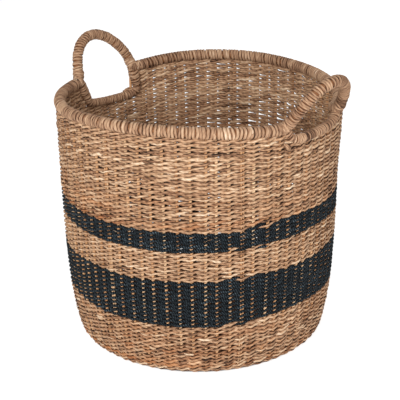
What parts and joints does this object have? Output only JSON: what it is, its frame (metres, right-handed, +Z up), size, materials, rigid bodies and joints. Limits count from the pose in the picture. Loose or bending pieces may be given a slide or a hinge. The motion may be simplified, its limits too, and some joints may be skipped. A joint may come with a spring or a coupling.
{
  "type": "woven market basket",
  "caption": "Round hand-woven market basket with dark stripes, a wrapped rim and two upright loop handles over hand holes.",
  "frame": {"origin": "middle of the flat face the basket rests on, on the body's vertical axis", "axes": "+Z up out of the open mouth; the two handles stand at +X and -X; +Y completes the right-handed frame"},
  "size_m": [0.4542, 0.4044, 0.4165],
  "materials": {
    "natural_fibre": "matte, dry plant fibre",
    "straw_fibre": "matte, slightly waxy plant fibre",
    "dark_fibre": "matte dyed plant fibre",
    "stake": "bare split cane",
    "core": "bare cane bundle"
  },
  "bodies": {
    "root": {"base_knot": "natural_fibre", "base_spokes": "stake", "base_weave": "natural_fibre", "wall_stakes": "stake", "heel_weave": "natural_fibre", "lower_band": "natural_fibre", "wide_dark_band": "dark_fibre", "middle_band": "straw_fibre", "narrow_dark_band": "dark_fibre", "upper_band": "natural_fibre", "rim_wrap_front": "straw_fibre", "rim_wrap_back": "straw_fibre", "rim_core_front": "core", "rim_core_back": "core", "handle_wrap_right": "straw_fibre", "handle_wrap_left": "straw_fibre", "handle_core_right": "core", "handle_core_left": "core", "lip_wrap_right": "straw_fibre", "lip_wrap_left": "straw_fibre", "lip_core_right": "core", "lip_core_left": "core", "joint_right_front": "natural_fibre", "joint_right_back": "natural_fibre", "joint_left_front": "natural_fibre", "joint_left_back": "natural_fibre"}
  },
  "joints": []
}
